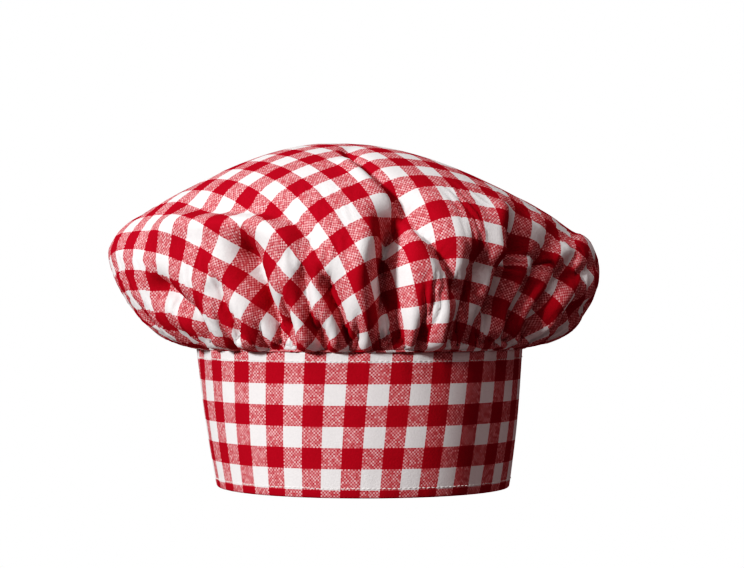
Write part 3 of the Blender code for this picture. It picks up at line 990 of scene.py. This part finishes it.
TAPE = 0.0010  # thickness of the loop and hook tapes
TAPE_HEIGHTS = (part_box("loop_tape")[0][2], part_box("loop_tape")[1][2])
LOOP_ENDS = (BAND_START, BAND_START + 0.050 * DEGREES_PER_METRE)
HOOK_FINISH = TAB_END - (2 * EDGE_INSET + 0.0005) * DEGREES_PER_METRE
HOOK_ENDS = (HOOK_FINISH - 0.025 * DEGREES_PER_METRE, HOOK_FINISH)
HOOK_RINGS = ((0.0, 0.00022, 0.0), (0.00028, 0.00016, 0.00018))  # rise, half width and lean
STIFFENER_DEPTHS = (0.0008, 0.0016)
LABEL_START = 150.0
LABEL_WIDTH = 0.022
LABEL_CLOTH = 0.0004
LABEL_OFF = 0.0012  # how far its free end hangs off the band, and how far its corners curl
LABEL_CURL = 0.004
CLEAR = 0.0003


def make_slab(name, place, ends, heights, depths, material, spacing=0.002, pile=0.0):
    """A closed strip. Pile roughens the face at the first depth, away from the edges."""
    (start, end), (bottom, top), (near, far) = ends, heights, depths
    length = math.radians(end - start) * BAND_RADIUS
    across = max(int((top - bottom) / spacing), 4)
    along = max(int(length / spacing), 4)
    angles = np.linspace(start, end, along + 1)[:, None]
    levels = np.linspace(bottom, top, across + 1)[None, :]
    rim = np.ones((along + 1, across + 1))
    rim[1:-1, 1:-1] = 0
    soft = (far - near) * 0.3
    rough = np.random.default_rng(1).uniform(0, pile, rim.shape) * (1 - rim)
    skins = (place(angles, levels, near + soft * rim - rough), place(angles, levels, far - soft * rim))
    points = np.concatenate([skin.reshape(-1, 3) for skin in skins])
    count = rim.size
    index = np.arange(count).reshape(rim.shape)
    here, right = index[:-1, :-1], index[1:, :-1]
    up, corner = index[:-1, 1:], index[1:, 1:]
    quads = np.stack((here, right, corner, up), axis=-1).reshape(-1, 4)
    faces = [*quads.tolist(), *(quads[:, ::-1] + count).tolist()]
    edge = [*index[:, 0], *index[-1, 1:], *index[-2::-1, -1], *index[0, -2:0:-1]]
    for first, second in zip(edge, edge[1:] + edge[:1]):
        faces.append((int(first), int(second), int(second) + count, int(first) + count))
    turn = np.broadcast_to(np.radians(angles - start) * BAND_RADIUS, rim.shape)
    rise = np.broadcast_to(levels - bottom, rim.shape)
    uv = np.tile(np.stack((turn, rise), axis=-1).reshape(-1, 2), (2, 1))
    return new_object(name, points, faces, material, uv=uv)


def tape_stitches(ends):
    """Round a tape, a little inside its edges."""
    inset = TAPE_INSET * DEGREES_PER_METRE
    bottom, top = TAPE_HEIGHTS
    path = rectangle(ends[0] + inset, ends[1] - inset, bottom + TAPE_INSET, top - TAPE_INSET)
    return running_stitches(path, TAPE_STITCH)


def make_loop_tape(pile, thread):
    """The soft half of the closure, sewn to the under-end's outer face."""
    depths = (-TAPE, ON_CLOTH)
    loop = make_slab("loop_tape_pile", on_band, LOOP_ENDS, TAPE_HEIGHTS, depths, pile, 0.0007, 0.00025)
    belong(loop, "loop_tape", "hat")
    sew("loop_tape_stitch", on_band, tape_stitches(LOOP_ENDS), UNDER_CLOTH, thread, "hat", facing=-1)


def hook_grid(place, depth, material):
    """Rows of short stiff hooks, each a small leaning peg."""
    angles = np.linspace(*HOOK_ENDS, 18)[1:-1]
    heights = np.linspace(*TAPE_HEIGHTS, 46)[1:-1]
    points = []
    faces = []
    for row, height in enumerate(heights):
        for angle in angles + (row % 2) * 0.4:
            base = len(points)
            for level, half, lean_out in HOOK_RINGS:
                for a, z in ((-1, -1), (1, -1), (1, 1), (-1, 1)):
                    where = angle + (a * half + lean_out) * DEGREES_PER_METRE
                    points.append(place(where, height + z * half, depth + level))
            faces += [(base + 4, base + 5, base + 6, base + 7), (base + 3, base + 2, base + 1, base)]
            for step in range(4):
                ahead = (step + 1) % 4
                faces.append((base + step, base + ahead, base + 4 + ahead, base + 4 + step))
    return new_object("hooks", points, faces, material)


def make_hook_tape(nylon, thread):
    """The stiff half of the closure, sewn to the tab's inner face."""
    back = BAND_THICKNESS + TAPE - 0.0002
    depths = (UNDER_CLOTH, back)
    backing = make_slab("hook_tape_backing", on_tab, HOOK_ENDS, TAPE_HEIGHTS, depths, nylon)
    hooks = hook_grid(on_tab, back - 0.00005, nylon)
    for piece in (backing, hooks):
        belong(piece, "hook_tape", "tab")
    sew("hook_tape_stitch", on_tab, tape_stitches(HOOK_ENDS), ON_CLOTH, thread, "tab")


def make_stiffener(name, node, place, ends, material, body=None):
    """A felted strip inside the band or the tab, as high as its CAD node."""
    low, high = corners_of(node)
    strip = make_slab(name, place, ends, (low.z, high.z), STIFFENER_DEPTHS, material)
    belong(strip, node, body)


def make_stiffeners(felt):
    clear = 0.0008 * DEGREES_PER_METRE
    ends = (OPENING_END + clear, OPENING_START + 360 - clear)
    make_stiffener("band_stiffener", "band_interfacing", on_band, ends, felt, "hat")
    ends = (OPENING_START + 2 * clear, TAB_END - clear)
    make_stiffener("tab_stiffener", "tab_interfacing", on_tab, ends, felt)


def make_label(ribbon, thread):
    """A blank label hanging inside the band from one row of stitches."""
    low, high = corners_of("care_label")
    ends = (LABEL_START, LABEL_START + LABEL_WIDTH * DEGREES_PER_METRE)

    def hanging(angle, z, depth):
        """A little away from the band towards its free end, and curled at the corners."""
        free = smooth((high.z - 0.003 - z) / (high.z - low.z))
        middle = (angle - ends[0]) / (ends[1] - ends[0]) - 0.5
        return on_band(angle, z, depth + free * (LABEL_OFF + LABEL_CURL * middle**2))

    near = BAND_THICKNESS + CLEAR
    depths = (near, near + LABEL_CLOTH)
    label = make_slab("care_label_looks", hanging, ends, (low.z, high.z), depths, ribbon, 0.001)
    belong(label, "care_label", "hat")
    inset = 0.001 * DEGREES_PER_METRE
    angles = np.linspace(ends[0] + inset, ends[1] - inset, 12)
    stitches = running_stitches([(angle, high.z - TAPE_INSET) for angle in angles], 0.002)
    depth = near + LABEL_CLOTH - ON_CLOTH
    sew("care_label_stitch", on_band, stitches, depth, thread, "hat", facing=-1)


# The studio


def add_sun(name, azimuth, height, strength, softness):
    """A lamp shining from an azimuth round +Z and a height over the floor, in degrees."""
    lamp = bpy.data.lights.new(name, "SUN")
    lamp.energy = strength
    lamp.angle = math.radians(softness)
    holder = bpy.data.objects.new(name, lamp)
    turn, up = math.radians(azimuth), math.radians(height)
    source = Vector((math.cos(turn) * math.cos(up), math.sin(turn) * math.cos(up), math.sin(up)))
    holder.rotation_euler = source.to_track_quat("Z", "Y").to_euler()
    bpy.context.collection.objects.link(holder)


FILL = (0.165, 0.125, 0.125)  # what the white surround and the red cloth throw back
SHADE_TONES = ((0.03, 0.011), (0.08, 0.048), (0.17, 0.155), (0.30, 0.32))  # light, and how it shows


def make_lights():
    """A key from the left, a soft lamp above, a weak one behind, and a white surround."""
    add_sun("key", 224.0, 20.0, 3.35, 9.0)
    add_sun("top", 245.0, 70.0, 1.05, 60.0)
    add_sun("back", 96.0, 3.0, 1.1, 20.0)
    world = bpy.data.worlds.new("studio")
    world.use_nodes = True
    tree = world.node_tree
    surround = tree.nodes["Background"]
    path = tree.nodes.new("ShaderNodeLightPath")
    level = tree.nodes.new("ShaderNodeMapRange")
    level.data_type = "FLOAT_VECTOR"
    tree.links.new(path.outputs["Is Camera Ray"], level.inputs["Vector"])
    low, high = level.inputs[9:11]  # the vector kinds of To Min and To Max
    low.default_value = FILL
    high.default_value = (1.0, 1.0, 1.0)
    tree.links.new(level.outputs["Vector"], surround.inputs["Color"])
    bpy.context.scene.world = world


def make_print_contrast():
    """The photograph is contrasty: its shade is darker than the light there would make it."""
    view = bpy.context.scene.view_settings
    view.view_transform = "Standard"
    view.use_curve_mapping = True
    tone = view.curve_mapping.curves[3]  # the curve of all three colours together
    for light, shown in SHADE_TONES:
        tone.points.new(light, shown)
    view.curve_mapping.update()


make_lights()
make_print_contrast()
crown_cloth = gingham_material("gingham_crown")
band_cloth = gingham_material("gingham_band")
# The darker thread colour is painted shade for the grooves between the plies.
thread = thread_material("white_thread", (0.90, 0.89, 0.87, 1), (0.70, 0.69, 0.67, 1))
felt = felt_material("stiffener", (0.84, 0.84, 0.82, 1), (0.62, 0.62, 0.60, 1), 0.9, 900.0, 0.0002)
pile = felt_material("loop_pile", (0.88, 0.87, 0.85, 1), (0.60, 0.59, 0.57, 1), 0.95, 1400.0, 0.0004)
nylon = felt_material("hook_nylon", (0.80, 0.80, 0.79, 1), (0.58, 0.58, 0.57, 1), 0.45, 2000.0, 0.0001)
make_crown(crown_cloth)
make_band(band_cloth)
make_tab(band_cloth)
make_band_threads(thread)
make_loop_tape(pile, thread)
make_hook_tape(nylon, thread)
make_tab_edge_stitch(thread)
make_stiffeners(felt)
make_label(woven_label_material("label_ribbon"), thread)
make_opening_hem_stitch(thread)
